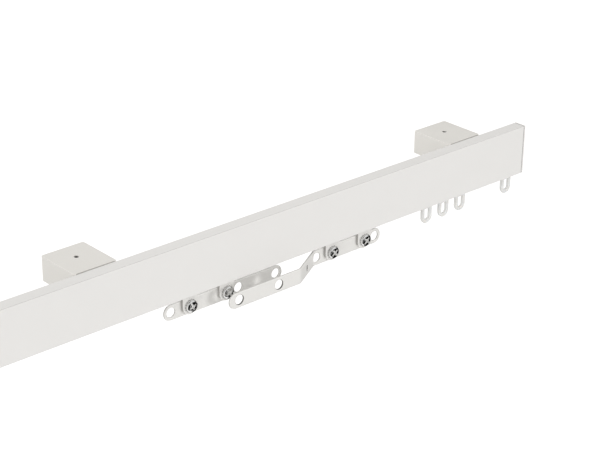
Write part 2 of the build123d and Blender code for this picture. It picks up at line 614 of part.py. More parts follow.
arm_right.part.label = "arm_right"
export_step(arm_right.part, "parts/arm_right.step")
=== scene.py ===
import logging
import math
from collections.abc import Callable, Sequence
from dataclasses import dataclass
from enum import Enum

import bmesh
import bpy
from mathutils import Matrix, Vector

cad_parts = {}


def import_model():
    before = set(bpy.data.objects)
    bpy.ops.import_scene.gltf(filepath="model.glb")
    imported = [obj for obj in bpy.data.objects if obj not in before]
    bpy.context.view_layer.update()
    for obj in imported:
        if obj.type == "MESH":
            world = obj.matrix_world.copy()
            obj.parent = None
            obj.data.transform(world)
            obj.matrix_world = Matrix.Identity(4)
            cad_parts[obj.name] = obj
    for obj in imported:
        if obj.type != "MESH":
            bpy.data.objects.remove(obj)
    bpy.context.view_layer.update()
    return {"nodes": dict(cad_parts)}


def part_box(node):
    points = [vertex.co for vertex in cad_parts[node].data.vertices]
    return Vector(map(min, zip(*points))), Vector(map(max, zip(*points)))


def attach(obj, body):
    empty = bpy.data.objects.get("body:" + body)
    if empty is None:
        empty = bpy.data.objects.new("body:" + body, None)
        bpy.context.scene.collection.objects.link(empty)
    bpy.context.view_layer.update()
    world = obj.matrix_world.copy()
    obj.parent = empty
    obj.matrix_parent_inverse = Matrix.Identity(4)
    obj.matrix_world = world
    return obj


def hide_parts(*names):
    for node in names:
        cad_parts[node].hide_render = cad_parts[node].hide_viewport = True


MM = 0.001
WELD = 0.0005 * MM
SEAM = MM / 500
FLAT_ANGLE = math.radians(0.6)
SHARP_ANGLE = math.radians(50)
FACET_ANGLE = math.radians(28)
UPRIGHT_TO_FRONT = (math.pi / 2, 0.0, 0.0)
UPRIGHT_TO_WALL = (-math.pi / 2, 0.0, 0.0)
UPSIDE_DOWN = (math.pi, 0.0, 0.0)
DRAWN_STRETCH = 0.02
CELL_SCALE = 0.35
CELL_SHARE = 0.35
BROAD_SCALE = 45.0
RELIEF_SHARE = 0.3
TONE_STOPS = (0.3, 0.7)
SCATTER_COLOUR = (1.0, 0.9, 0.8)
SCATTER_DEPTH = 0.8 * MM
log = logging.getLogger("curtain_track")

Piece = bpy.types.Object
Socket = bpy.types.NodeSocket
Number = float | Socket
Triple = tuple[float, float, float]
Profile = list[tuple[Number, Number]]
Picker = Callable[[Vector, Vector], bool]
FRAME_NODES: dict[str, Piece] = {}


class Hand(Enum):
    """The two ends of the track."""

    LEFT = "left"
    RIGHT = "right"


class Relief(Enum):
    """How the fine surface of a finish runs."""

    SPRAYED = "sprayed"
    MOULDED = "moulded"
    DRAWN = "drawn"
    PLATED = "plated"


class NodeWork:
    """Adds nodes to a tree and links them."""

    def __init__(self, tree: bpy.types.NodeTree) -> None:
        """Takes up the tree to add to."""
        self.tree = tree

    def feed(self, target: Socket, value: object) -> None:
        """Links a socket, or sets a value on it.

        Args:
            target: The input to fill.
            value: A socket, a plain value, or a list of sockets for an input that takes several.
        """
        for one in value if isinstance(value, list) else [value]:
            if isinstance(one, bpy.types.NodeSocket):
                self.tree.links.new(one, target)
            else:
                target.default_value = one

    def fill(self, node: bpy.types.Node, **values: object) -> Socket:
        """Fills a node's inputs by name.

        Args:
            node: The node.
            values: What goes into its inputs, by name with an underscore for a space.

        Returns:
            The node's first output.
        """
        for name, value in values.items():
            self.feed(node.inputs[name.replace("_", " ")], value)
        return node.outputs[0]

    def add(self, kind: str, options: dict[str, object] | None = None, **values: object) -> Socket:
        """Adds a node.

        Args:
            kind: The node's type.
            options: Its settings that aren't sockets.
            values: What goes into its inputs, by name with an underscore for a space.

        Returns:
            The node's first output.
        """
        node = self.tree.nodes.new(kind)
        for option, value in (options or {}).items():
            setattr(node, option, value)
        return self.fill(node, **values)

    def combine(self, kind: str, operation: str | None, *terms: object) -> Socket:
        """Adds a node whose inputs are filled in their order.

        Args:
            kind: The node's type.
            operation: What it does, where it has a choice.
            terms: What goes into its inputs.

        Returns:
            The node's first output.
        """
        node = self.add(kind, {"operation": operation} if operation else None).node
        for target, term in zip(node.inputs, terms):
            self.feed(target, term)
        return node.outputs[0]


@dataclass(frozen=True)
class Finish:
    """One finish of the track, with the fine relief and the tone variation that it shows close up."""

    name: str
    slot: str
    colour: Triple
    roughness: float
    relief: Relief
    grain: float
    depth: float
    metallic: float = 0.0
    tint: float = 0.02
    spread: float = 0.06
    shine: float = 0.5
    subsurface: float = 0.0

    def material(self) -> bpy.types.Material:
        """The finish as a node material, made once.

        Returns:
            The material, read on object coordinates.
        """
        made = bpy.data.materials.get(self.name)
        if made is not None:
            return made
        made = bpy.data.materials.new(self.name)
        made.use_nodes = True
        work = NodeWork(made.node_tree)
        place = work.add("ShaderNodeTexCoord").node.outputs["Object"]
        along = DRAWN_STRETCH if self.relief is Relief.DRAWN else 1.0
        scale = (along / self.grain, 1 / self.grain, 1 / self.grain)
        spots = work.add("ShaderNodeMapping", Vector=place, Scale=scale)
        detail = 4.0 if self.relief is Relief.MOULDED else 2.0
        height = work.add("ShaderNodeTexNoise", Vector=spots, Scale=1.0, Detail=detail, Roughness=0.6)
        if self.relief is Relief.PLATED:
            cells = work.add("ShaderNodeTexVoronoi", Vector=spots, Scale=CELL_SCALE)
            height = work.add("ShaderNodeMix", Factor=CELL_SHARE, A=height, B=cells)
        broad = work.add("ShaderNodeTexNoise", Vector=place, Scale=BROAD_SCALE, Detail=3.0)
        mixed = work.add("ShaderNodeMix", Factor=RELIEF_SHARE, A=broad, B=height)
        tones = work.add("ShaderNodeValToRGB", Fac=mixed)
        shares = (1 - self.tint, 1 + self.tint)
        for stop, position, share in zip(tones.node.color_ramp.elements, TONE_STOPS, shares):
            stop.position = position
            stop.color = (*(min(1.0, part * share) for part in self.colour), 1.0)
        gloss = work.add(
            "ShaderNodeMapRange",
            Value=mixed,
            From_Min=TONE_STOPS[0],
            From_Max=TONE_STOPS[1],
            To_Min=self.roughness - self.spread,
            To_Max=self.roughness + self.spread,
        )
        shader = made.node_tree.nodes["Principled BSDF"]
        work.fill(
            shader,
            Base_Color=tones,
            Metallic=self.metallic,
            Roughness=gloss,
            Specular_IOR_Level=self.shine,
            Normal=work.add("ShaderNodeBump", Strength=1.0, Distance=self.depth, Height=height),
            Subsurface_Weight=self.subsurface,
            Subsurface_Radius=SCATTER_COLOUR,
            Subsurface_Scale=SCATTER_DEPTH,
        )
        return made


RAIL_PAINT = Finish(
    "rail_powder_coat", "rail_paint", (0.83, 0.822, 0.808), 0.42, Relief.SPRAYED, 0.45 * MM, 0.003 * MM,
    tint=0.006, shine=0.2,
)
CAP_PLASTIC = Finish(
    "cap_satin_moulding", "cap_plastic", (0.825, 0.815, 0.80), 0.45, Relief.MOULDED, 0.16 * MM, 0.004 * MM
)
# Sawn rail ends: partly bare metal, and partly painted shade, darkened to draw the shadow line of the seam
# between rail and cap.
SAWN_END_AND_SEAM_SHADE = Finish(
    "sawn_end_and_seam_shade", "rail_paint", (0.30, 0.298, 0.29), 0.5, Relief.DRAWN, 0.12 * MM, 0.008 * MM, metallic=0.3,
    tint=0.1,
)
# Painted shade: darker grey on the rail's front-top edge bevel, for the thin dark line where top and front
# meet.
PAINTED_RAIL_EDGE_SHADE = Finish(
    "painted_rail_edge_shade", "rail_paint", (0.62, 0.612, 0.598), 0.42, Relief.SPRAYED, 0.3 * MM, 0.004 * MM, shine=0.2
)
# Painted shade: darker grey on the caps' inner faces, for the shadow in the joint between cap and rail.
PAINTED_CAP_JOINT_SHADE = Finish(
    "painted_cap_joint_shade", "cap_plastic", (0.46, 0.455, 0.445), 0.5, Relief.MOULDED, 0.16 * MM, 0.006 * MM
)
BRACKET_PAINT = Finish(
    "bracket_powder_coat", "bracket_paint", (0.80, 0.785, 0.75), 0.48, Relief.SPRAYED, 0.55 * MM, 0.008 * MM
)
# Painted shade: dark grey for the housing's front rim, standing in for the shadow in the gap between bracket
# and rail.
PAINTED_GAP_SHADE = Finish(
    "painted_gap_shade", "bracket_paint", (0.47, 0.46, 0.435), 0.55, Relief.SPRAYED, 0.3 * MM, 0.01 * MM, tint=0.1
)
ARM_PAINT = Finish(
    "arm_enamel", "arm_paint", (0.835, 0.826, 0.804), 0.40, Relief.SPRAYED, 0.5 * MM, 0.004 * MM, tint=0.01,
    shine=0.6,
)
# Painted light: a lighter white on the arms' upper edges under the rail, where the rail's shade falls.
PAINTED_EDGE_LIGHT = Finish(
    "painted_edge_light", "arm_paint", (0.98, 0.972, 0.95), 0.35, Relief.SPRAYED, 0.5 * MM, 0.004 * MM, tint=0.01
)
# Bare cut edge of the pre-painted strip, partly painted shade: only the edges that face right get this dark
# grey.
CUT_STEEL_AND_SHADE = Finish(
    "cut_steel_and_edge_shade", "arm_paint", (0.46, 0.455, 0.435), 0.42, Relief.DRAWN, 0.09 * MM, 0.006 * MM,
    metallic=0.3, tint=0.1,
)
# Painted shade: mid grey on all edges of the front arm and on the arms' edges that face left.
PAINTED_ARM_EDGE_SHADE = Finish(
    "painted_arm_edge_shade", "arm_paint", (0.62, 0.612, 0.59), 0.4, Relief.DRAWN, 0.09 * MM, 0.004 * MM, tint=0.06
)
# Hole walls of the front arm: bare punched steel, made near black as painted shade inside the holes.
PUNCHED_STEEL_AND_HOLE_SHADE = Finish(
    "punched_steel_and_hole_shade", "arm_paint", (0.19, 0.188, 0.178), 0.45, Relief.DRAWN, 0.09 * MM, 0.006 * MM,
    metallic=0.2, tint=0.15,
)
GLIDER_PLASTIC = Finish(
    "glider_nylon", "glider_plastic", (0.83, 0.83, 0.818), 0.34, Relief.MOULDED, 0.14 * MM, 0.003 * MM,
    subsurface=0.2,
)
CARRIER_PLASTIC = Finish(
    "carrier_moulding", "carrier_plastic", (0.82, 0.81, 0.79), 0.42, Relief.MOULDED, 0.15 * MM, 0.004 * MM
)
# Painted shade: grey on the carrier tabs' sides, for the dark band of shade beside each tab.
PAINTED_TAB_SHADE = Finish(
    "painted_tab_shade", "carrier_plastic", (0.45, 0.44, 0.425), 0.45, Relief.DRAWN, 0.1 * MM, 0.005 * MM, tint=0.12
)
WHEEL_PLASTIC = Finish(
    "wheel_moulding", "wheel_plastic", (0.80, 0.80, 0.78), 0.28, Relief.MOULDED, 0.12 * MM, 0.002 * MM,
    subsurface=0.2,
)
STOP_PLASTIC = Finish(
    "stop_moulding", "stop_plastic", (0.79, 0.775, 0.755), 0.44, Relief.MOULDED, 0.15 * MM, 0.004 * MM
)
CHROME = Finish(
    "polished_chrome", "fastener_chrome", (0.66, 0.66, 0.655), 0.08, Relief.PLATED, 0.35 * MM, 0.003 * MM,
    metallic=1.0, tint=0.04, spread=0.03,
)
# Painted highlight: near-white rougher metal inside the screws' cross recess, for the bright centre of the
# chrome heads.
PAINTED_RECESS_HIGHLIGHT = Finish(
    "painted_recess_highlight", "fastener_chrome", (0.96, 0.96, 0.95), 0.42, Relief.PLATED, 0.3 * MM, 0.006 * MM,
    metallic=0.4, tint=0.03,
)
ZINC = Finish(
    "bright_zinc", "fastener_zinc", (0.60, 0.61, 0.63), 0.34, Relief.PLATED, 0.5 * MM, 0.010 * MM,
    metallic=1.0, tint=0.08,
)
BASE_ZINC = Finish(
    "dull_zinc", "base_zinc", (0.64, 0.65, 0.67), 0.38, Relief.PLATED, 1.1 * MM, 0.012 * MM,
    metallic=1.0, tint=0.1,
)
# Black-oxide grub screws, made near black so that they also stand in as painted shade inside the brackets'
# screw holes.
BLACK_OXIDE_AND_HOLE_SHADE = Finish(
    "black_oxide_and_hole_shade", "fastener_black", (0.018, 0.018, 0.02), 0.5, Relief.PLATED, 0.3 * MM, 0.006 * MM,
    metallic=0.6, tint=0.2,
)


def set_down(name: str, data: bpy.types.ID) -> Piece:
    """Puts a new object into the scene.

    Args:
        name: Its name.
        data: Its mesh, lamp or camera.

    Returns:
        The object, at the origin.
    """
    made = bpy.data.objects.new(name, data)
    bpy.context.scene.collection.objects.link(made)
    return made


def keep_result(piece: Piece) -> None:
    """Turns what an object's modifiers make into its plain mesh.

    Args:
        piece: The object.
    """
    graph = bpy.context.evaluated_depsgraph_get()
    mesh = bpy.data.meshes.new_from_object(piece.evaluated_get(graph), depsgraph=graph)
    piece.modifiers.clear()
    piece.data = mesh
    mesh.name = piece.name


def smooth_by_angle(mesh: bpy.types.Mesh) -> None:
    """Shades a mesh smooth except across its real edges."""
    mesh.shade_smooth()
    mesh.set_sharp_from_angle(angle=FACET_ANGLE)


@dataclass(frozen=True)
class StandIn:
    """A finished piece that takes the place of one frame node on its body.

    Its looks are further finishes, each with what picks its faces by their normal and centre.
    """

    node: str
    name: str
    finish: Finish
    body: str = "track"
    looks: Sequence[tuple[Finish, Picker]] = ()

    def settle(self, piece: Piece) -> None:
        """Gives the piece its further finishes, puts it in the node's place and reports it.

        Args:
            piece: The piece, in its main finish.
        """
        slots = piece.data.materials
        for finish, picked in self.looks:
            slot = slots.find(finish.name)
            if slot < 0:
                slot = len(slots)
                slots.append(finish.material())
            for face in piece.data.polygons:
                if picked(face.normal, face.center):
                    face.material_index = slot
        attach(piece, self.body)
        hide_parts(self.node)
        log.info("%s: %d faces on %s", piece.name, len(piece.data.polygons), self.body)

    def soften(self, edge: float, steps: int = 2, kept: bool = True) -> None:
        """Makes the piece as a copy of the node, with edges broken as paint and moulds leave them.

        Args:
            edge: How far the bevel reaches from each edge, in metres.
            steps: How many facets the bevel has.
            kept: Whether the bevel is held back where edges come close.
        """
        mesh = FRAME_NODES[self.node].data.copy()
        mesh.name = self.name
        work = bmesh.new()
        work.from_mesh(mesh)
        bmesh.ops.remove_doubles(work, verts=work.verts, dist=WELD)
        bmesh.ops.dissolve_limit(
            work, angle_limit=FLAT_ANGLE, verts=work.verts, edges=work.edges, use_dissolve_boundaries=False
        )
        sharp = [
            line
            for line in work.edges
            if len(line.link_faces) == 2 and line.calc_face_angle(0.0) > SHARP_ANGLE
        ]
        bmesh.ops.bevel(
            work, geom=sharp, offset=edge, offset_type="OFFSET", segments=steps, profile=0.5, affect="EDGES",
            clamp_overlap=kept,
        )
        bmesh.ops.triangulate(work, faces=[face for face in work.faces if len(face.verts) > 4])
        work.to_mesh(mesh)
        work.free()
        for attribute in ("custom_normal", "sharp_face", "sharp_edge"):
            if attribute in mesh.attributes:
                mesh.attributes.remove(mesh.attributes[attribute])
        mesh.materials.clear()
        mesh.materials.append(self.finish.material())
        smooth_by_angle(mesh)
        made = set_down(self.name, mesh)
        made.modifiers.new("true_flats", "WEIGHTED_NORMAL").keep_sharp = True
        keep_result(made)
        self.settle(made)


class ShapeTree(NodeWork):
    """A Geometry Nodes tree in the making: named sizes go in, one realised mesh with its finish comes out."""

    def __init__(self, name: str) -> None:
        """Starts an empty tree.

        Args:
            name: The tree's name.
        """
        super().__init__(bpy.data.node_groups.new(name, "GeometryNodeTree"))
        self.sockets: dict[str, str] = {}
        self.declare("Places", "NodeSocketGeometry")
        self.tree.interface.new_socket(name="Shape", in_out="OUTPUT", socket_type="NodeSocketGeometry")
        self.entry = self.tree.nodes.new("NodeGroupInput")

    def declare(self, name: str, kind: str) -> bpy.types.NodeTreeInterfaceSocket:
        """Adds one named input to the tree.

        Args:
            name: The input's name.
            kind: Its socket type.

        Returns:
            The new item of the tree's interface.
        """
        item = self.tree.interface.new_socket(name=name, in_out="INPUT", socket_type=kind)
        self.sockets[name] = item.identifier
        return item

    def sizes(self, owner: object, *fields: str) -> list[Socket]:
        """Makes a sub-assembly's sizes named inputs of the tree.

        Args:
            owner: The sub-assembly.
            fields: The names of its sizes, each an input with a space for an underscore.

        Returns:
            The sockets that carry them inside the tree.
        """
        sockets = []
        for name in fields:
            label = name.replace("_", " ").capitalize()
            self.declare(label, "NodeSocketFloat").default_value = getattr(owner, name)
            sockets.append(self.entry.outputs[label])
        return sockets

    def sum_of(self, *terms: tuple[Number, float]) -> Socket:
        """A weighted sum.

        Args:
            terms: Pairs of a size and its weight.

        Returns:
            The socket with the sum.
        """
        total: Number = 0.0
        for value, weight in terms:
            total = self.combine("ShaderNodeMath", "MULTIPLY_ADD", value, weight, total)
        return total

    def vector(self, x: Number = 0.0, y: Number = 0.0, z: Number = 0.0) -> Socket:
        """A vector of numbers or sizes."""
        return self.add("ShaderNodeCombineXYZ", X=x, Y=y, Z=z)

    def choose(self, kind: str, values: Sequence[object]) -> Socket:
        """One value for each point by its index.

        Args:
            kind: FLOAT or VECTOR.
            values: The values in the points' order.

        Returns:
            The field's socket.
        """
        node = self.tree.nodes.new("GeometryNodeIndexSwitch")
        node.data_type = kind
        while len(node.index_switch_items) < len(values):
            node.index_switch_items.new()
        self.feed(node.inputs["Index"], self.add("GeometryNodeInputIndex"))
        for place, value in enumerate(values):
            self.feed(node.inputs[place + 1], value)
        return node.outputs[0]

    def outline(self, points: Profile, closed: bool) -> Socket:
        """A polyline in the local XY plane.

        Args:
            points: Its corners.
            closed: Whether it returns to its first point.

        Returns:
            The curve.
        """
        line = self.add("GeometryNodeMeshLine", Count=len(points))
        spots = self.choose("VECTOR", [self.vector(x, y) for x, y in points])
        placed = self.add("GeometryNodeSetPosition", Geometry=line, Position=spots)
        curve = self.add("GeometryNodeMeshToCurve", Mesh=placed)
        return self.add("GeometryNodeSetSplineCyclic", Geometry=curve, Cyclic=closed)

    def rounded(self, curve: Socket, radius: object, steps: int) -> Socket:
        """Rounds the corners of a curve, by one radius or a field, with some points on each."""
        corners = {"Radius": radius, "Count": steps, "Limit_Radius": True}
        return self.add("GeometryNodeFilletCurve", {"mode": "POLY"}, Curve=curve, **corners)

    def turned(self, points: Profile, closed: bool, steps: int) -> Socket:
        """A lathe-turned solid round local Z.

        Args:
            points: Its profile as pairs of radius and height, from the lower side to the upper one.
            closed: Whether the profile is a ring that stays off the axis.
            steps: How many sides it has.

        Returns:
            The mesh, with the points on the axis merged.
        """
        corners = [(self.sum_of((r, 1.0), (MM, -1.0)), self.sum_of((z, -1.0))) for r, z in points]
        profile = self.outline(corners, closed)
        circle = self.add("GeometryNodeCurvePrimitiveCircle", Resolution=steps, Radius=MM)
        swept = self.add("GeometryNodeCurveToMesh", Curve=circle, Profile_Curve=profile)
        return self.add("GeometryNodeMergeByDistance", Geometry=swept, Distance=SEAM)

    def slab(self, curve: Socket, low: Number, height: Number) -> Socket:
        """A flat closed plate from a closed outline.

        Args:
            curve: The outline in the local XY plane.
            low: The height of its lower face.
            height: Its thickness.

        Returns:
            The closed mesh.
        """
        face = self.add("GeometryNodeFillCurve", {"mode": "NGONS"}, Curve=curve)
        up = self.vector(z=1.0)
        raised = self.add(
            "GeometryNodeExtrudeMesh", Mesh=face, Offset=up, Offset_Scale=height, Individual=False
        )
        back = self.add("GeometryNodeFlipFaces", Mesh=face)
        shell = self.add("GeometryNodeJoinGeometry", Geometry=[raised, back])
        closed = self.add("GeometryNodeMergeByDistance", Geometry=shell, Distance=SEAM)
        return self.moved(closed, self.vector(z=low))

    def moved(self, shape: Socket, shift: object = (0, 0, 0), turn: object = (0, 0, 0)) -> Socket:
        """Turns a shape, by angles in radians, and then shifts it."""
        return self.add("GeometryNodeTransform", Geometry=shape, Translation=shift, Rotation=turn)

    def cut(self, solid: Socket, tools: list[Socket], operation: str = "DIFFERENCE") -> Socket:
        """Cuts a solid with others.

        Args:
            solid: The solid.
            tools: What cuts it.
            operation: DIFFERENCE to take the tools away, INTERSECT to keep what is shared.

        Returns:
            The cut solid.
        """
        names = {"Mesh_1": solid, "Mesh_2": tools}
        if operation == "INTERSECT":
            names = {"Mesh_2": [solid, *tools]}
        return self.add("GeometryNodeMeshBoolean", {"operation": operation, "solver": "EXACT"}, **names)

    def joined(self, *shapes: Socket) -> Socket:
        """Joins shapes into one."""
        return self.add("GeometryNodeJoinGeometry", Geometry=list(shapes))

    def close(self, shape: Socket) -> None:
        """Ends the tree: the shape goes on each place, is realised and takes the Finish input.

        Args:
            shape: The shape, which the Turn input turns.
        """
        kinds = {"Turn": "Vector", "Spin": "Float", "Spin seed": "Int", "Finish": "Material"}
        for name, kind in kinds.items():
            self.declare(name, f"NodeSocket{kind}")
        spun = self.add(
            "FunctionNodeRandomValue",
            {"data_type": "FLOAT_VECTOR"},
            Max=self.vector(y=self.entry.outputs["Spin"]),
            Seed=self.entry.outputs["Spin seed"],
        )
        turned = self.combine("ShaderNodeVectorMath", "ADD", self.entry.outputs["Turn"], spun)
        places = self.entry.outputs["Places"]
        copies = self.add("GeometryNodeInstanceOnPoints", Points=places, Instance=shape, Rotation=turned)
        whole = self.add("GeometryNodeRealizeInstances", Geometry=copies)
        dressed = self.add("GeometryNodeSetMaterial", Geometry=whole, Material=self.entry.outputs["Finish"])
        end = self.tree.nodes.new("NodeGroupOutput")
        self.feed(end.inputs[0], dressed)

    def stand_in(
        self,
        part: StandIn,
        places: Sequence[Vector],
        turn: Triple = (0.0, 0.0, 0.0),
        spin_seed: int = 0,
        **sizes: float,
    ) -> None:
        """Runs the tree and puts its result, as a plain mesh, in a frame node's place.

        Args:
            part: What the result stands in for.
            places: Where each copy stands.
            turn: How each copy is turned, in radians.
            spin_seed: The seed of how each copy is spun, where the tree has a Spin.
            sizes: Named sizes, with an underscore for a space.
        """
        spots = bpy.data.meshes.new(f"{part.name}_places")
        spots.from_pydata([tuple(place) for place in places], [], [])
        made = set_down(part.name, spots)
        modifier = made.modifiers.new("shape", "NODES")
        modifier.node_group = self.tree
        modifier[self.sockets["Turn"]] = turn
        modifier[self.sockets["Spin seed"]] = spin_seed
        modifier[self.sockets["Finish"]] = part.finish.material()
        for size, value in sizes.items():
            modifier[self.sockets[size.replace("_", " ").capitalize()]] = value
        keep_result(made)
        if not made.data.materials:
            made.data.materials.append(part.finish.material())
        smooth_by_angle(made.data)
        part.settle(made)


def dress_node(node: str, finish: Finish) -> None:
    """Dresses a frame node in a finish and leaves its shape as it is.

    Args:
        node: The frame's node.
        finish: What it is dressed in.
    """
    target = FRAME_NODES[node]
    target.data.materials.clear()
    target.data.materials.append(finish.material())
    log.info("%s: frame node dressed in %s", node, finish.name)


def extent(node: str) -> tuple[Triple, Triple, Vector]:
    """Finds a frame node's low corner, high corner and middle, in metres."""
    low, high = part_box(node)
    return low, high, (Vector(low) + Vector(high)) / 2


@dataclass
class Rail:
    """The extruded rail with its two end caps."""

    edge: float = 0.26 * MM
    cap_edge: float = 0.30 * MM
    bevel_facing: float = 0.3
    end_facing: float = 0.2

    def build(self) -> None:
        """Makes the rail and caps with broken edges, with painted shade on the rail's front-top bevel and on
        both sides of the cap joints.
        """
        looks = (
            # Painted shade on the rail's front-top edge bevel.
            (PAINTED_RAIL_EDGE_SHADE, lambda normal, centre: min(-normal.y, normal.z) > self.bevel_facing),
            # Rail ends: bare sawn metal, darkened as painted shade for the seam line at the caps.
            (SAWN_END_AND_SEAM_SHADE, lambda normal, centre: abs(normal.x) > self.end_facing),
        )
        StandIn("rail", "rail_extrusion", RAIL_PAINT, looks=looks).soften(self.edge, kept=False)
        for hand in Hand:
            node = f"end_cap_{hand.value}"
            outward = math.copysign(1.0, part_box(node)[0][0])
            # Painted shade on the cap faces that meet the rail.
            joint = (PAINTED_CAP_JOINT_SHADE, lambda normal, centre: normal.x * outward < -self.end_facing)
            cap = StandIn(node, f"cap_{hand.value}", CAP_PLASTIC, looks=[joint])
            cap.soften(self.cap_edge, kept=False)


@dataclass
class GrubScrews:
    """Headless screws with a hexagon socket."""

    radius: float = 1.5 * MM
    point: float = 0.35 * MM
    socket: float = 0.85 * MM
    reach: float = 1.6 * MM
    length: float = 4 * MM
    sides: int = 32

    def tree(self) -> ShapeTree:
        """The tree of one screw, standing on its point.

        Returns:
            The finished tree.
        """
        shape = ShapeTree("grub_screw")
        names = ("radius", "length", "point", "socket", "reach")
        radius, length, point, socket, reach = shape.sizes(self, *names)
        inner = shape.sum_of((radius, 1.0), (point, -1.0))
        top = shape.sum_of((length, 1.0), (point, -1.0))
        profile = [(0.0, 0.0), (inner, 0.0), (radius, point), (radius, top), (inner, length), (0.0, length)]
        body = shape.turned(profile, False, self.sides)
        hexagon = shape.add(
            "GeometryNodeMeshCylinder", Vertices=6, Radius=socket, Depth=shape.sum_of((reach, 2.0))
        )
        shape.close(shape.cut(body, [shape.moved(hexagon, shape.vector(z=length))]))
        return shape

    def build(self) -> None:
        """Makes the bracket screws and the end stop screws."""
        tree = self.tree()
        node = "bracket_grub_screws"
        low, high, centre = extent(node)
        xs = (low[0] + self.radius, centre.x, high[0] - self.radius)
        spots = [Vector((x, centre.y, low[2])) for x in xs]
        # Bracket grub screws: black oxide, near black as painted shade in their holes.
        tree.stand_in(StandIn(node, "bracket_grubs", BLACK_OXIDE_AND_HOLE_SHADE), spots, length=high[2] - low[2])
        node = "end_stop_screws"
        low, high, centre = extent(node)
        spots = [Vector((x, centre.y, high[2])) for x in (low[0] + self.radius, high[0] - self.radius)]
        part = StandIn(node, "end_stop_grubs", ZINC)
        tree.stand_in(part, spots, UPSIDE_DOWN, length=high[2] - low[2])


@dataclass
class WallBrackets:
    """The three box brackets with what they hold inside."""

    places: tuple[str, ...] = ("left", "middle", "right")
    inner_edge: float = 0.2 * MM
    rim_depth: float = 0.16 * MM
    rim_inset: float = 1.8 * MM
    rim_facing: float = 0.2

    def build(self) -> None:
        """Makes the housings with painted shade on the front rim next to the rail, for the gap line, and the
        zinc pieces inside them.
        """
        rail_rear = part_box("rail")[1][1]
        for place in self.places:
            node = f"bracket_{place}_housing"
            low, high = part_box(node)
            # Painted shade: the housing's front faces next to the rail's rear are dark grey, for the shadow
            # in the gap.
            rim = (
                PAINTED_GAP_SHADE,
                lambda normal, centre: normal.y < -self.rim_facing
                and centre.y < rail_rear + self.rim_depth
                and low[0] + self.rim_inset < centre.x < high[0] - self.rim_inset,
            )
            housing = StandIn(node, f"bracket_{place}_box", BRACKET_PAINT, looks=[rim])
            housing.soften(self.inner_edge)
            StandIn(f"bracket_{place}_base", f"bracket_{place}_plate", BASE_ZINC).soften(self.inner_edge)
        StandIn("bracket_slide_nuts", "groove_nuts", ZINC).soften(self.inner_edge)
        StandIn("bracket_clamp_screws", "groove_screws", ZINC).soften(self.inner_edge / 2)


@dataclass
class EndStops:
    """The blocks that part the end gliders from the others."""

    edge: float = 0.25 * MM

    def build(self) -> None:
        """Makes both blocks with broken edges."""
        for hand in Hand:
            stop = StandIn(f"end_stop_{hand.value}", f"channel_stop_{hand.value}", STOP_PLASTIC)
            stop.soften(self.edge)


@dataclass
class Gliders:
    """The eye gliders, each swept as one rounded bar round its eye."""

    names: tuple[str, ...] = ("1", "2", "3", "end")
    eye_width: float = 9.5 * MM
    eye_drop: float = 12.8 * MM
    head_length: float = 9.8 * MM
    head_width: float = 6.0 * MM
    head_low: float = 1.4 * MM
    head_height: float = 2.6 * MM
    bar: float = 2.7 * MM
    thickness: float = 2.7 * MM
    bar_corner: float = 1.2 * MM
    eye_corner: float = 0.9 * MM
    neck_length: float = 6.4 * MM
    neck_width: float = 3.2 * MM
    corner: float = 1.2 * MM
    loop_steps: int = 14
    bar_steps: int = 4
    neck_steps: int = 3
    head_steps: int = 5
    gap: float = 0.2 * MM

    def tree(self) -> ShapeTree:
        """The tree of one glider, with the rail's lower face at height 0.

        Returns:
            The finished tree.
        """
        shape = ShapeTree("eye_glider")
        width, drop, bar, thickness = shape.sizes(self, "eye_width", "eye_drop", "bar", "thickness")
        names = ("head_length", "head_width", "head_low", "head_height")
        length, head_width, head_low, head_height = shape.sizes(self, *names)
        half = shape.sum_of((width, 0.5), (bar, -0.5))
        top = shape.sum_of((self.gap, -1.0), (bar, -0.5))
        foot = shape.sum_of((drop, -1.0), (bar, 0.5))
        left = shape.sum_of((half, -1.0))
        loop = shape.outline([(left, top), (left, foot), (half, foot), (half, top)], True)
        radii = shape.choose("FLOAT", [self.eye_corner, half, half, self.eye_corner])
        path = shape.rounded(loop, radii, self.loop_steps)
        section = shape.add("GeometryNodeCurvePrimitiveQuadrilateral", Width=bar, Height=thickness)
        section = shape.rounded(section, self.bar_corner, self.bar_steps)
        eye = shape.add("GeometryNodeCurveToMesh", Curve=path, Profile_Curve=section)
        eye = shape.moved(eye, turn=UPRIGHT_TO_FRONT)
        neck_outline = shape.add(
            "GeometryNodeCurvePrimitiveQuadrilateral", Width=self.neck_length, Height=self.neck_width
        )
        neck_height = shape.sum_of((head_low, 1.0), (top, -1.0), (self.gap, 1.0))
        neck = shape.slab(shape.rounded(neck_outline, self.gap * 2, self.neck_steps), top, neck_height)
        head_outline = shape.add("GeometryNodeCurvePrimitiveQuadrilateral", Width=length, Height=head_width)
        head_outline = shape.rounded(head_outline, self.corner, self.head_steps)
        head = shape.slab(head_outline, head_low, head_height)
        shape.close(shape.joined(eye, neck, head))
        return shape

    def build(self) -> None:
        """Makes one piece for each glider."""
        tree = self.tree()
        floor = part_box("rail")[0][2]
        for hand in Hand:
            for number in self.names:
                node = f"glider_{hand.value}_{number}"
                low, high, centre = extent(node)
                tree.stand_in(
                    StandIn(node, f"eye_{hand.value}_{number}", GLIDER_PLASTIC, node),
                    [Vector((centre.x, centre.y, floor))],
                    eye_drop=floor - low[2],
                    head_length=high[0] - low[0],
                    head_width=high[1] - low[1],
                )


